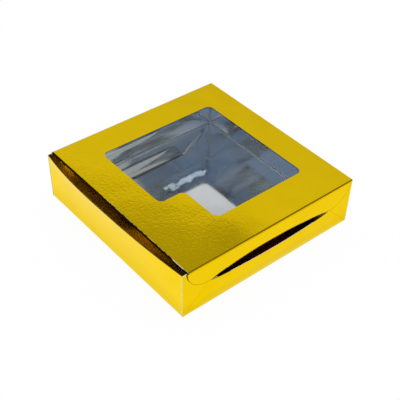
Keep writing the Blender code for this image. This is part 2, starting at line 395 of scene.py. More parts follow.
def pick(kind, wanted):
    """Select the open mesh's corners, edges or faces that pass a test of their places."""
    bpy.ops.mesh.select_mode(type=kind)
    bpy.ops.mesh.select_all(action="DESELECT")
    mesh = bmesh.from_edit_mesh(bpy.context.edit_object.data)
    if kind == "VERT":
        chosen = [vertex for vertex in mesh.verts if wanted(vertex.co)]
    elif kind == "EDGE":
        chosen = [edge for edge in mesh.edges if all(wanted(vertex.co) for vertex in edge.verts)]
    else:
        chosen = [face for face in mesh.faces if wanted(face.calc_center_median())]
    for part in chosen:
        part.select_set(True)
    mesh.select_flush_mode()
    bmesh.update_edit_mesh(bpy.context.edit_object.data)
    if not chosen:
        raise RuntimeError("nothing was found to select on " + bpy.context.edit_object.name)


def cut(place, across):
    """Cut the whole open mesh along a plane."""
    bpy.ops.mesh.select_all(action="SELECT")
    bpy.ops.mesh.bisect(plane_co=place, plane_no=across)


def round_off(radius, steps):
    """Round the selected corners of a flat sheet."""
    bpy.ops.mesh.bevel(offset=radius, affect="VERTICES", segments=steps, profile=0.5)


def draw_out(way):
    """Extrude the selected part of the open mesh."""
    bpy.ops.mesh.extrude_region_move(TRANSFORM_OT_translate={"value": way})


def new_sheet(name, width, height, centre, turn=(0, 0, 0), grid=(1, 1)):
    """A flat gridded sheet, its normal towards the outside of the box."""
    bpy.ops.object.select_all(action="DESELECT")
    bpy.ops.mesh.primitive_grid_add(x_subdivisions=grid[0], y_subdivisions=grid[1], size=1)
    sheet = bpy.context.object
    sheet.name = name
    sheet.data.name = name
    sheet.scale = (width, height, 1)
    sheet.rotation_euler = turn
    sheet.location = centre
    bpy.ops.object.transform_apply(location=True, rotation=True, scale=True)
    return sheet


def apply_modifier(piece, modifier):
    take(piece)
    bpy.ops.object.modifier_apply(modifier=modifier.name)


def face_outwards(piece, outwards):
    """Turn the sheet's faces alike, so that most of its area looks outwards."""
    with editing(piece):
        bpy.ops.mesh.select_all(action="SELECT")
        bpy.ops.mesh.remove_doubles(threshold=NEAR)
        bpy.ops.mesh.normals_make_consistent(inside=False)
        mesh = bmesh.from_edit_mesh(piece.data)
        facing = sum(face.normal.dot(outwards(face.calc_center_median())) * face.calc_area()
                     for face in mesh.faces)
        if facing < 0:
            bpy.ops.mesh.flip_normals()


def thicken(piece, thickness, layered=False):
    """Make a sheet solid inwards, when layered with finishes of its own inside and at the edge."""
    gauge = piece.modifiers.new("gauge", "SOLIDIFY")
    gauge.thickness = thickness
    gauge.offset = -1
    gauge.use_even_offset = layered
    gauge.material_offset = 1 if layered else 0
    gauge.material_offset_rim = 2 if layered else 0
    apply_modifier(piece, gauge)


def laminate(piece, edge=None):
    """Give a sheet its board inwards, with foil on both sides and core at every cut edge."""
    outsides = (gold_foil(), painted_shade_gold(), shadowed_gold(), cracked_and_highlit_foil(), worn_and_highlit_foil(),
                gap_shaded_gold())
    for outside in outsides:
        for finish in (outside, silver_foil(), edge or board_core()):
            piece.data.materials.append(finish)
    thicken(piece, BOARD, layered=True)


def mark(piece, finish, wanted):
    """Give another finish to the faces that pass a test."""
    for face in piece.data.polygons:
        if wanted(face):
            face.material_index = finish


def smooth(piece):
    take(piece)
    bpy.ops.object.shade_smooth_by_angle(angle=SMOOTH_ANGLE)


def shape(piece, place):
    """Move each vertex to the place that a function gives for it."""
    for vertex in piece.data.vertices:
        vertex.co = place(vertex.co.copy())
    piece.data.update()


def settle(piece, body, slot, *nodes):
    """Put a finished piece on its body in the stead of its nodes."""
    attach(piece, body)
    if nodes:
        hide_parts(*nodes)


# Finishes

class Finish:
    """The nodes of a material or of the room, with short ways to add to them."""

    def __init__(self, owner, place="Object"):
        owner.use_nodes = True
        self.nodes = owner.node_tree.nodes
        self.links = owner.node_tree.links
        self.place = self.add("TexCoord").outputs[place]

    def feed(self, node, inputs):
        """Give a node's inputs their numbers and colours, or link them to other nodes' outputs."""
        for name, value in inputs.items():
            if isinstance(value, bpy.types.NodeSocket):
                self.links.new(value, node.inputs[name])
            else:
                node.inputs[name].default_value = value

    def add(self, kind, inputs=None, **settings):
        """A new node of a kind, with its settings and then its inputs."""
        node = self.nodes.new("ShaderNode" + kind)
        for name, value in settings.items():
            setattr(node, name, value)
        self.feed(node, inputs or {})
        return node

    def axes(self, place):
        """The X, Y and Z of a place."""
        return self.add("SeparateXYZ", {"Vector": place}).outputs

    def maths(self, operation, *values):
        return self.add("Math", dict(enumerate(values)), operation=operation).outputs["Value"]

    def vector(self, operation, inputs, result="Vector"):
        return self.add("VectorMath", inputs, operation=operation).outputs[result]

    def share(self, value, low, high, least=0.0, most=1.0, eased=False):
        """How far a value has come from low to high, between the least and the most share."""
        ease = "SMOOTHSTEP" if eased else "LINEAR"
        inputs = {"Value": value, "From Min": low, "From Max": high}
        inputs.update({"To Min": least, "To Max": most})
        return self.add("MapRange", inputs, interpolation_type=ease).outputs["Result"]

    def mix(self, share, far, near):
        """One colour passing into another as a share grows."""
        inputs = {"Factor": share, "A": far, "B": near}
        return self.add("Mix", inputs, data_type="RGBA").outputs["Result"]

    def mix_shaders(self, share, far, near):
        inputs = {"Fac": share, 1: far.outputs[0], 2: near.outputs[0]}
        return self.add("MixShader", inputs)

    def noise(self, size, detail=2.0, distortion=0.0):
        """A noise whose lumps are about a size wide, in metres."""
        return self.add("TexNoise", {
            "Vector": self.place,
            "Scale": 1 / size,
            "Detail": detail,
            "Distortion": distortion,
        }).outputs["Fac"]

    def bump(self, height, depth, below=None):
        relief = self.add("Bump", {"Height": height, "Strength": 1.0, "Distance": depth})
        if below is not None:
            self.feed(relief, {"Normal": below})
        return relief.outputs["Normal"]

    def surface(self, shader):
        """Use a shader of its own in the stead of the usual one."""
        self.nodes.remove(self.nodes["Principled BSDF"])
        self.feed(self.nodes["Material Output"], {"Surface": shader.outputs[0]})


def finished(name, dress, *details):
    """A named finish, dressed at its first use."""
    if name not in bpy.data.materials:
        dress(Finish(bpy.data.materials.new(name)), *details)
    return bpy.data.materials[name]


def tone(colour, share=1.0):
    """A colour brought to a share of its brightness, as an input takes it."""
    return (*[min(1.0, share * part) for part in colour], 1.0)


def handled(finish):
    """Where fingers wrinkled the foil most: on the lid, towards the tuck front."""
    place = finish.axes(finish.place)
    towards_front = finish.share(place["Y"], *HANDLED_REACH, least=UNHANDLED_SHARE, eased=True)
    on_lid = finish.maths("GREATER_THAN", place["Z"], BOX_HEIGHT - BOARD / 2)
    return finish.share(on_lid, 0.0, 1.0, least=UNHANDLED_SHARE, most=towards_front)


def foil(finish, colour, edge_tint, roughness, relief, metallic=1.0):
    """Mirror foil on board: slow waves from the board and small wrinkles from the lamination."""
    settings = bpy.context.scene.pastry_foil
    wrinkle_depth, wave_depth = relief
    slow = finish.bump(finish.noise(settings.wave_size, detail=1.0), wave_depth)
    wrinkles = finish.noise(settings.crinkle_size, distortion=WRINKLE_DISTORTION)
    wrinkled = finish.maths("MULTIPLY", wrinkles, handled(finish))
    patches = finish.noise(settings.wave_size / 2)
    finish.feed(finish.nodes["Principled BSDF"], {
        "Metallic": metallic,
        "Roughness": roughness,
        "Specular Tint": (*edge_tint, 1.0),
        "Normal": finish.bump(wrinkled, wrinkle_depth, slow),
        "Base Color": finish.mix(patches, *[tone(colour, share) for share in PATCH_SHARES]),
    })


def gold_foil():
    settings = bpy.context.scene.pastry_foil
    return finished("gold_foil", foil, settings.gold, settings.gold_edge,
                    settings.gold_roughness, GOLD_RELIEF)


def darkened_gold(name, share):
    """Gold foil darkened to a share of its brightness, for painted shade."""
    settings = bpy.context.scene.pastry_foil
    colour = [share * part ** SHADE_POWER for part in settings.gold]
    edge_tint = [share * part for part in settings.gold_edge]
    return finished(name, foil, colour, edge_tint, 2 * settings.gold_roughness, GOLD_RELIEF)


# Painted shade along creases, the lid's side folds, a flap's border and the tongue behind the lip.
def painted_shade_gold():
    return darkened_gold("painted_shade_gold", bpy.context.scene.pastry_foil.painted_shade_share)


def shadowed_gold():
    return darkened_gold("shadowed_gold", bpy.context.scene.pastry_foil.shadow_share)


def silver_foil():
    settings = bpy.context.scene.pastry_foil
    return finished("silver_foil", foil, settings.silver, WHITE[:3], settings.silver_roughness,
                    SILVER_RELIEF)


def highlit_crease_silver():
    """Pale matte silver on the crease ridges: a painted highlight along the creases."""
    return finished("highlit_crease_silver", foil, CREASE_HIGHLIGHT_COLOUR, WHITE[:3], CREASE_HIGHLIGHT_ROUGHNESS,
                    CREASE_HIGHLIGHT_RELIEF, 0.0)


def gap_shaded_gold():
    """Gold foil that faces the front wall's inside, painted brown as the gap's shade, with painted
    amber glints.
    """
    return finished("gap_shaded_gold", dress_gap_shaded_gold, bpy.context.scene.pastry_foil.facing)


def dress_gap_shaded_gold(finish, colour):
    along = finish.axes(finish.place)["X"]
    glints = []
    for centre, reach, strength in TUCK_GLINTS:
        away = finish.maths("ABSOLUTE", finish.maths("SUBTRACT", along, centre))
        glints.append(finish.share(away, reach, reach / 3, most=strength, eased=True))
    patches = finish.noise(GLINT_SIZE, distortion=GLINT_DISTORTION)
    broken = finish.share(patches, *GLINT_BREAKS)
    # Painted glints: where the glint share grows, the foil turns to matte amber.
    glint = finish.maths("MULTIPLY", finish.maths("ADD", *glints), broken)
    # Painted shade of the gap, darkest towards the right end.
    ending = finish.share(along, *TUCK_DARK_END)
    brown = finish.mix(ending, tone(colour, TUCK_DIM_SHARE), tone(colour, TUCK_DARK_SHARE))
    finish.feed(finish.nodes["Principled BSDF"], {
        "Metallic": finish.maths("SUBTRACT", 1.0, glint),
        "Roughness": TUCK_ROUGHNESS,
        "Specular IOR Level": 0.0,
        "Specular Tint": tone(colour, 2.0),
        "Base Color": finish.mix(glint, brown, tone(colour)),
    })


def pulp(finish, colour):
    fibres = finish.noise(FIBRE_SIZE)
    finish.feed(finish.nodes["Principled BSDF"], {
        "Roughness": PULP_ROUGHNESS,
        "Normal": finish.bump(fibres, FIBRE_DEPTH),
        "Base Color": finish.mix(fibres, tone(colour, FIBRE_SHARE), tone(colour)),
    })


def board_core():
    """Bare pulp at a cut edge."""
    return finished("board_core", pulp, bpy.context.scene.pastry_foil.core)


def shaded_core():
    """A cut edge painted dark: painted shade along the front wall's top, the flaps and the lid
    folds.
    """
    return finished("shaded_core", pulp, bpy.context.scene.pastry_foil.shaded_core)


def cracked_and_highlit_foil():
    """A crease where the foil has split and the pulp shows through, together with a painted
    highlight along the tuck fold's top.
    """
    return finished("cracked_and_highlit_foil", pulp, bpy.context.scene.pastry_foil.crack_and_highlight)


def worn_and_highlit_foil():
    """A folded corner, rubbed and painted pale as a highlight along its rounding."""
    return finished("worn_and_highlit_foil", pulp, bpy.context.scene.pastry_foil.worn_and_highlit)


def shaded_window_edge():
    """The window's cut edge, in painted shade under the film."""
    return finished("shaded_window_edge", pulp, bpy.context.scene.pastry_foil.shaded_window_edge)


def clear_film(finish):
    """Thin clear film that lets the eye through and mirrors a little more at a flat angle."""
    relief = finish.bump(finish.noise(RIPPLE_SIZE), RIPPLE_DEPTH)
    oval = finish.add("Mapping", {
        "Vector": finish.place,
        "Location": FILM_DENT,
        "Scale": FILM_DENT_SIZE,
    }, vector_type="TEXTURE")
    away = finish.vector("LENGTH", {0: oval.outputs["Vector"]}, "Value")
    uneven = finish.maths("MULTIPLY_ADD", finish.noise(DENT_LUMP_SIZE), DENT_LUMP_STRENGTH, away)
    dent = finish.share(uneven, *DENT_EDGE, eased=True)
    tilt = finish.vector("SCALE", {0: FILM_DENT_TILT, "Scale": dent})
    tilted = finish.vector("ADD", {0: relief, 1: tilt})
    clear = finish.add("BsdfTransparent", {"Color": FILM_TINT})
    gloss = finish.add("BsdfGlossy", {"Roughness": FILM_ROUGHNESS, "Normal": tilted})
    steep = finish.maths("POWER", finish.add("LayerWeight").outputs["Facing"], SHINE_POWER)
    shine = finish.maths("MULTIPLY_ADD", steep, SHINE_GROWTH, SHINE_LEAST)
    finish.surface(finish.mix_shaders(shine, clear, gloss))


# Shapes that the sprung boards take

def front_out(place):
    """How far the front wall springs outwards at a place on it."""
    rise = max(0.0, (place.z - WALL_FOOT) / (FRONT_TOP - WALL_FOOT))
    across = max(-1.0, min(1.0, place.x / (TRAY_HALF - WALL_FOOT)))
    skew = 1 - FRONT_BOW_SKEW_SHARE * across
    bow = FRONT_BOW * (1 - abs(across) ** FRONT_BOW_POWER) * skew * rise * rise
    return FRONT_LEAN * rise + bow


def lip_out(place):
    """How far the lip below the slit bows outwards."""
    rise = max(0.0, (place.z - WALL_FOOT) / (SLIT_HEIGHT - WALL_FOOT))
    along = min(1.0, abs(place.y) / (TRAY_HALF - place.z))
    step = LIP_STEP * (1 - along ** LIP_STEP_POWER)
    bow = LIP_BOW * (1 - along * along)
    return (step + bow) * rise * (2 - rise)


def strip_in(place):
    """How far the strip above the slit is pushed inwards."""
    rise = (place.z - SLIT_HEIGHT) / (WALL_TOP - SLIT_HEIGHT)
    along = min(1.0, abs(place.y) / (SLIT_HALF + rise * SLIT_HEIGHT))
    return STRIP_BOW * (1 - along * along) * (1 - rise)


def flap_out(place, top):
    """How far a side flap bends: inwards above the slit, and out against the lip at its tongue."""
    fall = min(1.0, (top - place.z) / (top - SLIT_HEIGHT))
    along = min(1.0, abs(place.y) / SLIT_HALF)
    hollow = FLAP_HOLLOW * (1 - along * along) * fall * fall
    if place.z > SLIT_HEIGHT:
        return -hollow
    depth = (SLIT_HEIGHT - place.z) / (SLIT_HEIGHT - FLAP_LOW.z)
    lean = depth * depth * (3 - 2 * depth)
    against_lip = TRAY_HALF - BOARD + lip_out(place) - LID_HALF - 2 * NEAR
    return lean * against_lip - (1 - lean) * hollow


# Boards of the tray

class PASTRYBOX_OT_bottom_board(bpy.types.Operator):
    """Lay the bottom board between the folds of the four walls."""

    bl_idname = "pastry_box.bottom_board"
    bl_label = "Bottom Board"

    def execute(self, context):
        side = 2 * (TRAY_HALF - context.scene.pastry_board.fold_radius)
        board = new_sheet("bottom_board", side, side, (0, 0, 0), (math.pi, 0, 0), BOTTOM_GRID)
        face_outwards(board, lambda centre: -UP)
        laminate(board)
        smooth(board)
        settle(board, "tray", "gold_foil_board", "bottom_panel")
        return {"FINISHED"}


def fold_round(pivot, before, after):
    """Spin the chosen edges a quarter turn about a crease, from one direction to another."""
    steps = bpy.context.scene.pastry_board.fold_steps
    bpy.ops.mesh.spin(steps=steps, angle=QUARTER, center=pivot, axis=after.cross(before),
                      dupli=False)


def fold_wall_foot(wall, outwards, radius):
    """Turn the wall's foot round its crease to the underside of the box."""
    pivot = outwards * (TRAY_HALF - radius) + UP * radius
    with editing(wall):
        pick("EDGE", lambda place: abs(place.z - radius) < NEAR)
        fold_round(pivot, outwards, -UP)


def fold_tabs(wall, outwards, radius, half_width):
    """Turn both ends of a wall round the upright corners and draw them out to glue tabs."""
    for side in (-1, 1):
        sideways = Vector((side, 0, 0))
        pivot = sideways * half_width + outwards * (TRAY_HALF - radius)
        with editing(wall):
            pick("EDGE", lambda place: abs(place.x - pivot.x) < NEAR and place.z > radius - NEAR)
            fold_round(pivot, outwards, sideways)
            turned = side * (half_width + radius)
            pick("EDGE", lambda place: abs(place.x - turned) < NEAR)
            draw_out(-outwards * TAB_DEPTH)
            middle = UP * (WALL_FOOT + WALL_TOP) / 2
            bpy.ops.transform.resize(value=(1, 1, TAB_END_SHARE), center_override=middle)


def end_wall(name, outwards, height, turn, grid, cuts=()):
    """A front or rear wall with its upright cuts, its foot and its glue tabs folded."""
    radius = bpy.context.scene.pastry_board.fold_radius
    half_width = TRAY_HALF - BOARD - radius
    centre = outwards * TRAY_HALF + UP * (radius + height / 2)
    wall = new_sheet(name, 2 * half_width, height, centre, (QUARTER, 0, turn), grid)
    with editing(wall):
        for x in cuts:
            cut((x, 0, 0), (1, 0, 0))
    fold_wall_foot(wall, outwards, radius)
    fold_tabs(wall, outwards, radius, half_width)
    face_outwards(wall, lambda at: outwards if abs(at.x) < half_width else Vector((at.x, 0, 0)))
    return wall


def crease_bead(name, start, end, outwards):
    """A low wavy ridge, as pressing a crease from outside leaves on the inside, finished in pale
    matte silver as a painted highlight.
    """
    along = (end - start).normalized()
    across = outwards.cross(along)
    strip = new_sheet(name, (end - start).length, BEAD_WIDTH, (0, 0, 0), grid=BEAD_GRID)

    def raised(place):
        arch = math.cos(math.pi * place.y / BEAD_WIDTH) ** 2
        waves = sum(share * math.sin(rate * place.x + first) for share, rate, first in BEAD_WAVES)
        height = BEAD_HEIGHT * arch * (1 + waves)
        return (start + end) / 2 + along * place.x + across * place.y + outwards * height

    shape(strip, raised)
    face_outwards(strip, lambda at: outwards)
    strip.data.materials.append(highlit_crease_silver())
    thicken(strip, CREASE_GAP / 2)
    smooth(strip)
    settle(strip, "tray", "gold_foil_board")


class PASTRYBOX_OT_crease_beads(bpy.types.Operator):
    """Raise the ridges inside the foot creases and the rear upright corners, each carrying a
    painted highlight.
    """

    bl_idname = "pastry_box.crease_beads"
    bl_label = "Crease Beads"

    def execute(self, context):
        reach = TRAY_HALF - context.scene.pastry_board.fold_radius - BEAD_WIDTH / 2
        end = reach - BEAD_WIDTH
        low = BOARD + CREASE_GAP / 2
        for name, outwards in SIDES:
            centre = Vector((outwards[0] * reach, outwards[1] * reach, low))
            half = Vector((outwards[1] * end, outwards[0] * end, 0))
            crease_bead(name + "_foot_bead", centre - half, centre + half, UP)
        for name, side in RIGHT_AND_LEFT:
            foot = Vector((side * (reach - BOARD), reach, BOARD + BEAD_WIDTH))
            head = foot + UP * (FRONT_TOP - 4 * BEAD_WIDTH)
            crease_bead(name + "_corner_bead", foot, head, Vector((-side, -1, 0)).normalized())
        return {"FINISHED"}


class PASTRYBOX_OT_front_wall(bpy.types.Operator):
    """Raise the front wall, fold its glue tabs and let it spring outwards."""

    bl_idname = "pastry_box.front_wall"
    bl_label = "Front Wall"

    def execute(self, context):
        radius = context.scene.pastry_board.fold_radius
        unmarked = TRAY_HALF - BOARD - radius - CORNER_MARK_WIDTH
        outwards = Vector((0, -1, 0))
        wall = end_wall("front_wall_board", outwards, FRONT_TOP - radius, 0, FRONT_GRID,
                        (-unmarked, unmarked))
        # Rubbed wear and a painted highlight along the folded corners.
        mark(wall, WORN_AND_HIGHLIT, lambda face: abs(face.center.x) > unmarked and face.center.z > radius
             and face.center.y < -TRAY_HALF + radius)
        shape(wall, lambda place: place + outwards * front_out(place))
        # Its top edge is painted dark as shade.
        laminate(wall, shaded_core())
        smooth(wall)
        settle(wall, "tray", "gold_foil_board", "front_wall",
               "front_right_glue_tab", "front_left_glue_tab")
        return {"FINISHED"}


class PASTRYBOX_OT_rear_wall(bpy.types.Operator):
    """Raise the rear wall and fold its glue tabs."""

    bl_idname = "pastry_box.rear_wall"
    bl_label = "Rear Wall"

    def execute(self, context):
        height = BOX_HEIGHT - 2 * context.scene.pastry_board.fold_radius
        wall = end_wall("rear_wall_board", Vector((0, 1, 0)), height, math.pi, REAR_GRID)
        laminate(wall)
        smooth(wall)
        settle(wall, "tray", "gold_foil_board", "rear_wall",
               "rear_right_glue_tab", "rear_left_glue_tab")
        return {"FINISHED"}


def slit_wall(name, side, radius):
    """A side wall with its slit cut open, its corners creased and its lip bowed outwards."""
    outwards = Vector((side, 0, 0))
    height = WALL_TOP - radius
    centre = (side * TRAY_HALF, 0, radius + height / 2)
    wall = new_sheet(name, 2 * TRAY_HALF, height, centre, (QUARTER, 0, side * QUARTER), SLIT_GRID)
    with editing(wall):
        cut(UP * SLIT_HEIGHT, UP)
        for end in (-1, 1):
            tip = Vector((side * TRAY_HALF, end * SLIT_HALF, SLIT_HEIGHT))
            across = Vector((0, end, 1)).normalized()
            for offset in (0, CREASE_HALF, -CREASE_HALF):
                pick("FACE", lambda at: at.z < SLIT_HEIGHT and at.y * end > 0)
                bpy.ops.mesh.bisect(plane_co=tip + offset * across, plane_no=across)
            upper = (0, end * (WALL_TOP - SLIT_HEIGHT), -SLIT_HEIGHT)
            pick("FACE", lambda at: at.z > SLIT_HEIGHT and at.y * end > 0)
            bpy.ops.mesh.bisect(plane_co=tip, plane_no=upper)
        pick("EDGE", lambda at: abs(at.z - SLIT_HEIGHT) < NEAR and abs(at.y) < SLIT_HALF + NEAR)
        bpy.ops.mesh.edge_split(type="EDGE")
        mesh = bmesh.from_edit_mesh(wall.data)
        for face in mesh.faces:
            centre = face.calc_center_median()
            off_crease = abs(abs(centre.y) + centre.z - TRAY_HALF) / math.sqrt(2)
            # Painted shade along the two diagonal creases below the slit.
            if centre.z < SLIT_HEIGHT and abs(centre.y) > SLIT_HALF and off_crease < CREASE_HALF:
                face.material_index = PAINTED_SHADE
        for vertex in mesh.verts:
            heights = [face.calc_center_median().z for face in vertex.link_faces]
            middle = sum(heights) / len(heights)
            place = vertex.co.copy()
            if middle < SLIT_HEIGHT and abs(place.y) <= TRAY_HALF - place.z:
                vertex.co += outwards * lip_out(place)
            elif middle > SLIT_HEIGHT:
                vertex.co -= outwards * strip_in(place)
            if place.y < -SLIT_HALF:
                rise = (place.z - WALL_FOOT) / (WALL_TOP - WALL_FOOT)
                vertex.co.y += FRONT_LEAN * rise * (place.y + SLIT_HALF) / SLIT_HEIGHT
    fold_wall_foot(wall, outwards, radius)
    face_outwards(wall, lambda at: outwards)
    laminate(wall)
    # Rubbed wear and a painted highlight at the walls' ends, and painted shadow at the slit's
    # tips.
    mark(wall, WORN_AND_HIGHLIT, lambda face: abs(face.normal.y) > END_EDGE_SHARE
         and abs(face.center.y) > TRAY_HALF - BOARD)
    mark(wall, SHADOWED, lambda face: abs(face.normal.z) > SLIT_EDGE_SHARE
         and abs(face.center.z - SLIT_HEIGHT) < BOARD
         and abs(face.center.y) > SLIT_TIP_SHARE * SLIT_HALF)
    smooth(wall)
    return wall


class PASTRYBOX_OT_slit_walls(bpy.types.Operator):
    """Raise the two side walls, cut their slits and bow their lips."""

    bl_idname = "pastry_box.slit_walls"
    bl_label = "Slit Walls"

    def execute(self, context):
        radius = context.scene.pastry_board.fold_radius
        for side_name, side in RIGHT_AND_LEFT:
            wall = slit_wall(side_name + "_slit_wall", side, radius)
            settle(wall, "tray", "gold_foil_board",
                   side_name + "_lower_strip", side_name + "_upper_strip",
                   "front_" + side_name + "_gusset", "rear_" + side_name + "_gusset")
        return {"FINISHED"}


# Boards of the lid

def is_window_corner(place):
    """Whether a point of the window's outline is one of its six corners."""
    rightmost = WINDOW_RIGHT if place.y > WINDOW_FRONT + NEAR else KEPT_CORNER.x
    foremost = WINDOW_FRONT if place.x < WINDOW_RIGHT - NEAR else KEPT_CORNER.y
    at_kept_corner = (place - KEPT_CORNER).xy.length < NEAR
    return at_kept_corner or (min(abs(place.x - x) for x in (WINDOW_LEFT, rightmost)) < NEAR
                              and min(abs(place.y - y) for y in (foremost, WINDOW_REAR)) < NEAR)


def window_cutter():
    """A block with the window's outline, which keeps a corner of board at the front right."""
    centre = ((WINDOW_LEFT + WINDOW_RIGHT) / 2, (WINDOW_FRONT + WINDOW_REAR) / 2,
              BOX_HEIGHT + BOARD)
    width = WINDOW_RIGHT - WINDOW_LEFT
    cutter = new_sheet("window_cutter", width, WINDOW_REAR - WINDOW_FRONT, centre)
    with editing(cutter):
        cut(KEPT_CORNER, (1, 0, 0))
        cut(KEPT_CORNER, (0, 1, 0))
        pick("FACE", lambda at: at.x > KEPT_CORNER.x and at.y < KEPT_CORNER.y)
        bpy.ops.mesh.delete(type="FACE")
        bpy.ops.mesh.select_all(action="SELECT")
        bpy.ops.mesh.dissolve_faces()
        pick("VERT", is_window_corner)
        round_off(WINDOW_RADIUS, WINDOW_STEPS)
        bpy.ops.mesh.select_all(action="SELECT")
        draw_out((0, 0, -4 * BOARD))
        bpy.ops.mesh.select_all(action="SELECT")
        bpy.ops.mesh.normals_make_consistent(inside=False)
    cutter.data.materials.append(shaded_window_edge())
    return cutter


class PASTRYBOX_OT_lid_board(bpy.types.Operator):
    """Lay the lid board and cut its window."""

    bl_idname = "pastry_box.lid_board"
    bl_label = "Lid Board"

    def execute(self, context):
        radius = context.scene.pastry_board.fold_radius
        soft_radius = context.scene.pastry_board.lid_fold_radius
        front = LID_FRONT + soft_radius
        rear = LID_REAR - radius
        width = 2 * (LID_HALF - soft_radius)
        depth = rear - front
        centre = (0, (rear + front) / 2, BOX_HEIGHT)
        lid = new_sheet("lid_board", width, depth, centre, grid=LID_GRID)
        face_outwards(lid, lambda at: UP)
        laminate(lid)
        cutter = window_cutter()
        window = lid.modifiers.new("window", "BOOLEAN")
        window.operation = "DIFFERENCE"
        window.object = cutter
        window.material_mode = "TRANSFER"
        apply_modifier(lid, window)
        bpy.data.objects.remove(cutter)
        smooth(lid)
        settle(lid, "lid", "gold_foil_board", "lid_panel")
        return {"FINISHED"}


class PASTRYBOX_OT_window_film(bpy.types.Operator):
    """Stretch the clear film under the window."""

    bl_idname = "pastry_box.window_film"
    bl_label = "Window Film"

    def execute(self, context):
        centre = (FILM_LOW + FILM_HIGH) / 2
        centre.z = FILM_HIGH.z
        size = FILM_HIGH - FILM_LOW
        film = new_sheet("window_film_sheet", size.x, size.y, centre, grid=FILM_GRID)
        face_outwards(film, lambda at: UP)
        film.data.materials.append(finished("film_finish", clear_film))
        thicken(film, size.z)
        smooth(film)
        settle(film, "lid", "clear_film", "window_film")
        return {"FINISHED"}


class PASTRYBOX_OT_tuck_flap(bpy.types.Operator):
    """Hang the tuck flap from the lid's front fold, behind the front wall."""

    bl_idname = "pastry_box.tuck_flap"
    bl_label = "Tuck Flap"

    def execute(self, context):
        top = BOX_HEIGHT - context.scene.pastry_board.lid_fold_radius
        drop = (top - TUCK_LOW.z) / math.cos(TUCK_SLANT)
        width = 2 * (TRAY_HALF - BOARD - CREASE_GAP)
        middle = Vector((0, drop / 2 * math.sin(TUCK_SLANT), -drop / 2 * math.cos(TUCK_SLANT)))
        centre = Vector((0, LID_FRONT, top)) + middle
        flap = new_sheet("tuck_flap_board", width, drop, centre, (QUARTER + TUCK_SLANT, 0, 0))
        with editing(flap):
            pick("VERT", lambda place: place.z < BOX_HEIGHT / 2)
            round_off(TUCK_RADIUS, TUCK_STEPS)
            cut(UP * (BOX_HEIGHT - TUCK_BAND), UP)
        face_outwards(flap, lambda at: Vector((0, -1, 0)))
        # The band in the gap takes painted shade and painted glints.
        mark(flap, GAP_SHADED, lambda face: face.center.z > BOX_HEIGHT - TUCK_BAND)
        laminate(flap)
        smooth(flap)
        settle(flap, "tuck_flap", "gold_foil_board", "tuck_flap")
        return {"FINISHED"}


def side_flap(name, side, radius):
    """A side flap with rounded ends and a tongue that goes behind the lip."""
    top = BOX_HEIGHT - radius
    foot = SLIT_HEIGHT + CREASE_GAP
    centre = (side * LID_HALF, 0, (top + foot) / 2)
    flap = new_sheet(name, 2 * FLAP_HALF, top - foot, centre, (QUARTER, 0, side * QUARTER))
    with editing(flap):
        pick("VERT", lambda place: place.z < foot + NEAR)
        round_off(FLAP_HALF - SLIT_HALF, FLAP_STEPS)
        for end in (-1, 1):
            cut((0, end * TONGUE_HALF, 0), (0, 1, 0))
        pick("EDGE", lambda place: place.z < foot + NEAR and abs(place.y) < TONGUE_HALF + NEAR)
        drop = foot - FLAP_LOW.z
        draw_out((0, 0, -drop))
        bpy.ops.transform.resize(value=(1, TONGUE_TAPER_SHARE, 1),
                                 center_override=(side * LID_HALF, 0, 0))
        pick("VERT", lambda place: place.z < FLAP_LOW.z + NEAR)
        round_off(TONGUE_RADIUS, TONGUE_STEPS)
        bpy.ops.mesh.select_all(action="SELECT")
        bpy.ops.mesh.remove_doubles(threshold=FLAP_BORDER / 2)
        # A thin border of painted shadow along the flap's outline.
        bpy.ops.mesh.select_all(action="SELECT")
        bpy.ops.mesh.select_mode(type="FACE")
        bpy.ops.mesh.inset(thickness=FLAP_BORDER, use_boundary=True, use_even_offset=False)
        bpy.ops.mesh.select_all(action="INVERT")
        mesh = bmesh.from_edit_mesh(flap.data)
        for face in mesh.faces:
            if face.select:
                face.material_index = PAINTED_SHADE
        bmesh.update_edit_mesh(flap.data)
        columns, rows = FLAP_GRID
        for step in range(1, columns):
            cut((0, FLAP_HALF * (2 * step / columns - 1), 0), (0, 1, 0))
        for step in range(1, rows):
            cut((0, 0, FLAP_LOW.z + (top - FLAP_LOW.z) * step / rows), UP)
    face_outwards(flap, lambda at: Vector((side, 0, 0)))
    # Painted shade on the tongue behind the lip.
    mark(flap, PAINTED_SHADE, lambda face: face.center.z < SLIT_HEIGHT)
    shape(flap, lambda place: place + Vector((side, 0, 0)) * flap_out(place, top))
    laminate(flap, shaded_core())
    smooth(flap)
    return flap


class PASTRYBOX_OT_side_flaps(bpy.types.Operator):
    """Hang the two side flaps and push their tongues behind the lips."""

    bl_idname = "pastry_box.side_flaps"
    bl_label = "Side Flaps"

    def execute(self, context):
        radius = context.scene.pastry_board.lid_fold_radius
        for side_name, side in RIGHT_AND_LEFT:
            flap = side_flap(side_name + "_flap_board", side, radius)
            settle(flap, side_name + "_flap", "gold_foil_board", side_name + "_side_flap")
        return {"FINISHED"}


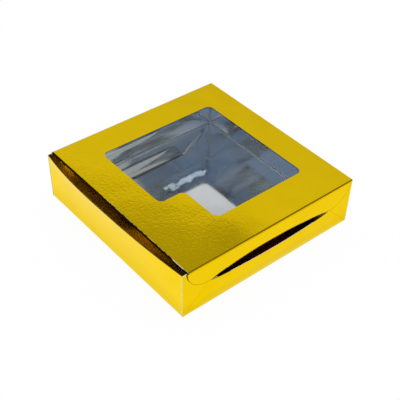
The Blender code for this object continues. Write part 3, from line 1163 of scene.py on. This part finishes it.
def mark_crease(fold, outwards):
    """Paint shade on the side folds; on the tuck fold, paint pale dashes along its upper side,
    partly split foil and partly painted highlight, fullest as a painted highlight near a corner,
    with painted shadow on the rest of its turn.
    """
    start, turned = CRACK_AND_HIGHLIGHT_RUN
    low, high, corner_turned = PAINTED_HIGHLIGHT_CORNER
    for face in fold.data.polygons:
        turn = math.degrees(math.atan2(face.normal.dot(outwards), face.normal.z))
        if outwards.x and SHADED_TURN[0] < turn < SHADED_TURN[1]:
            face.material_index = PAINTED_SHADE
        elif outwards.y < 0:
            along = face.center.x / LID_HALF
            broken = sum(math.sin(rate * along) for rate in DASH_RATES) > DASH_LEVEL
            pale_turn = turned if along > start and broken else 0
            if low < along < high:
                pale_turn = corner_turned
            face.material_index = CRACKED_AND_HIGHLIT if turn < pale_turn else SHADOWED


class PASTRYBOX_OT_lid_folds(bpy.types.Operator):
    """Round the folds between the lid and its flaps and the tray's rear wall."""

    bl_idname = "pastry_box.lid_folds"
    bl_label = "Lid Folds"

    def execute(self, context):
        small = context.scene.pastry_board.fold_radius
        large = context.scene.pastry_board.lid_fold_radius
        side_ends = (LID_FRONT + large, LID_REAR - small)
        tuck_end = LID_HALF - BOARD
        hinge_end = TRAY_HALF - BOARD
        folds = (
            ("right_lid_fold", (1, 0, 0), LID_HALF, side_ends, large, "right_flap"),
            ("left_lid_fold", (-1, 0, 0), LID_HALF, side_ends, large, "left_flap"),
            ("tuck_lid_fold", (0, -1, 0), -LID_FRONT, (-tuck_end, tuck_end), large, "tuck_flap"),
            ("hinge_fold", (0, 1, 0), LID_REAR, (-hinge_end, hinge_end), small, "tray"),
        )
        for name, direction, reach, (low_end, high_end), radius, body in folds:
            outwards = Vector(direction)
            along = Vector((abs(outwards.y), abs(outwards.x), 0))
            middle = along * (high_end + low_end) / 2
            pivot = outwards * (reach - radius) + UP * (BOX_HEIGHT - radius)
            start = pivot + UP * radius
            turn = (0, 0, 0) if along.x else (0, 0, QUARTER)
            fold = new_sheet(name, high_end - low_end, radius, middle + start, turn, FOLD_GRID)
            with editing(fold):
                pick("VERT", lambda place: abs((place - start).dot(outwards)) > NEAR)
                bpy.ops.mesh.delete(type="VERT")
                bpy.ops.mesh.select_all(action="SELECT")
                fold_round(pivot, UP, outwards)
            face_outwards(fold, lambda at: outwards + UP)
            mark_crease(fold, outwards)
            laminate(fold, shaded_core())
            smooth(fold)
            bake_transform(fold)
        return {"FINISHED"}


# The stage

def light_ramp(room, height, stops):
    """Brightness of the room against the height that a ray looks at."""
    ramp = room.add("ValToRGB", {"Fac": height})
    elements = ramp.color_ramp.elements
    while len(elements) < len(stops):
        elements.new(1.0)
    for element, (place, *colour) in zip(elements, stops):
        element.position = place
        element.color = (*colour, 1.0)
    return ramp.outputs["Color"]


def towards(room, direction):
    """How far a ray looks towards a side of the room, as a cosine."""
    side = Vector(direction).normalized()
    return room.vector("DOT_PRODUCT", {0: room.place, 1: side}, "Value")


def dress_room(room):
    """A white room for the eye, and pale and dim walls for the foil to mirror."""
    height = room.axes(room.place)["Z"]
    greyward = towards(room, GREY_DIRECTION)
    sloped = room.maths("MULTIPLY_ADD", greyward, WINDOW_SLOPE, height)
    dim = light_ramp(room, height, DIM_SIDE)
    grey = light_ramp(room, height, GREY_SIDE)
    window = light_ramp(room, sloped, WINDOW_SIDE)
    mirrored = room.mix(room.share(greyward, *GREY_REACH, eased=True), dim, grey)
    windowward = room.share(towards(room, WINDOW_DIRECTION), *WINDOW_REACH, eased=True)
    mirrored = room.mix(windowward, mirrored, window)
    for direction, core, rim, colour in ROOM_SPOTS:
        ends = [math.cos(math.radians(angle)) for angle in (rim, core)]
        spot = room.share(towards(room, direction), *ends, eased=True)
        mirrored = room.mix(spot, mirrored, (*colour, 1.0))
    path = room.add("LightPath").outputs
    plain = room.maths("MAXIMUM", path["Is Camera Ray"], path["Is Diffuse Ray"])
    room.feed(room.nodes["Background"], {"Color": room.mix(plain, mirrored, WHITE)})


def floor_finish(floor):
    """A white floor that keeps a faint shadow; as mirrored, it has a painted shadow close to the
    box and a painted gold glow beyond the right wall.
    """
    apart = floor.axes(floor.vector("ABSOLUTE", {0: floor.place}))
    farther = floor.maths("MAXIMUM", apart["X"], apart["Y"])
    # Painted shadow beside the box and painted gold glow beyond the right wall, for mirrored rays.
    dark = floor.share(farther, *FLOOR_DARK_REACH, least=FLOOR_DARK_SHARE, eased=True)
    beside = floor.share(floor.axes(floor.place)["X"], *FLOOR_GLOW_REACH)
    glow = floor.mix(beside, WHITE, FLOOR_GLOW)
    paper = floor.add("BsdfDiffuse", {"Color": PAPER})
    near_white = floor.add("Emission", {"Color": glow, "Strength": dark})
    white = floor.add("Emission", {"Strength": 1.0})
    path = floor.add("LightPath").outputs
    mirrored = floor.maths("MAXIMUM", path["Is Glossy Ray"], path["Is Transmission Ray"])
    for_foil = floor.mix_shaders(mirrored, paper, near_white)
    for_eye = floor.maths("MULTIPLY", path["Is Camera Ray"], EYE_SHARE)
    floor.surface(floor.mix_shaders(for_eye, for_foil, white))


class PASTRYBOX_OT_stage(bpy.types.Operator):
    """Set the floor, the room's light and the camera."""

    bl_idname = "pastry_box.stage"
    bl_label = "Stage"

    def execute(self, context):
        size = context.scene.pastry_stage.floor_size
        floor = new_sheet("floor", size, size, (0, 0, 0))
        floor.data.materials.append(finished("pale_floor", floor_finish))
        context.scene.world = bpy.data.worlds.new("soft_room")
        dress_room(Finish(context.scene.world, "Generated"))
        context.scene.view_settings.view_transform = "Standard"
        context.scene.cycles.max_bounces = BOUNCES
        context.scene.cycles.glossy_bounces = GLOSSY_BOUNCES
        lens = bpy.data.cameras.new("camera")
        lens.lens = LENS
        lens.sensor_width = SENSOR
        camera = bpy.data.objects.new("camera", lens)
        context.scene.collection.objects.link(camera)
        context.scene.camera = camera
        back = Vector((
            math.sin(CAMERA_AZIMUTH) * math.cos(CAMERA_ELEVATION),
            -math.cos(CAMERA_AZIMUTH) * math.cos(CAMERA_ELEVATION),
            math.sin(CAMERA_ELEVATION),
        ))
        camera.location = CAMERA_TARGET + back * CAMERA_DISTANCE
        camera.rotation_mode = "QUATERNION"
        roll = Quaternion((0, 0, 1), CAMERA_ROLL)
        camera.rotation_quaternion = (-back).to_track_quat("-Z", "Y") @ roll
        return {"FINISHED"}


OPERATORS = (
    PASTRYBOX_OT_stage,
    PASTRYBOX_OT_bottom_board,
    PASTRYBOX_OT_crease_beads,
    PASTRYBOX_OT_front_wall,
    PASTRYBOX_OT_rear_wall,
    PASTRYBOX_OT_slit_walls,
    PASTRYBOX_OT_lid_board,
    PASTRYBOX_OT_window_film,
    PASTRYBOX_OT_tuck_flap,
    PASTRYBOX_OT_side_flaps,
    PASTRYBOX_OT_lid_folds,
)


class PASTRYBOX_PT_panel(bpy.types.Panel):
    """List the boards and their sizes and colours."""

    bl_idname = "PASTRYBOX_PT_panel"
    bl_label = "Foil Pastry Box"
    bl_space_type = "VIEW_3D"
    bl_region_type = "UI"
    bl_category = "Pastry Box"

    def draw(self, context):
        scene = context.scene
        for settings in (scene.pastry_board, scene.pastry_foil, scene.pastry_stage):
            for name in settings.bl_rna.properties.keys():
                if name not in ("rna_type", "name"):
                    self.layout.prop(settings, name)
        for operator in OPERATORS:
            self.layout.operator(operator.bl_idname)


SETTINGS = (BoardSettings, FoilSettings, StageSettings)


def register():
    for kind in (*SETTINGS, *OPERATORS, PASTRYBOX_PT_panel):
        bpy.utils.register_class(kind)
    bpy.types.Scene.pastry_board = PointerProperty(type=BoardSettings)
    bpy.types.Scene.pastry_foil = PointerProperty(type=FoilSettings)
    bpy.types.Scene.pastry_stage = PointerProperty(type=StageSettings)


def unregister():
    del bpy.types.Scene.pastry_stage
    del bpy.types.Scene.pastry_foil
    del bpy.types.Scene.pastry_board
    for kind in reversed((*SETTINGS, *OPERATORS, PASTRYBOX_PT_panel)):
        bpy.utils.unregister_class(kind)


def main():
    register()
    bpy.ops.pastry_box.stage()
    bpy.ops.pastry_box.bottom_board()
    bpy.ops.pastry_box.crease_beads()
    bpy.ops.pastry_box.front_wall()
    bpy.ops.pastry_box.rear_wall()
    bpy.ops.pastry_box.slit_walls()
    bpy.ops.pastry_box.lid_board()
    bpy.ops.pastry_box.window_film()
    bpy.ops.pastry_box.tuck_flap()
    bpy.ops.pastry_box.side_flaps()
    bpy.ops.pastry_box.lid_folds()


if __name__ == "__main__":
    main()
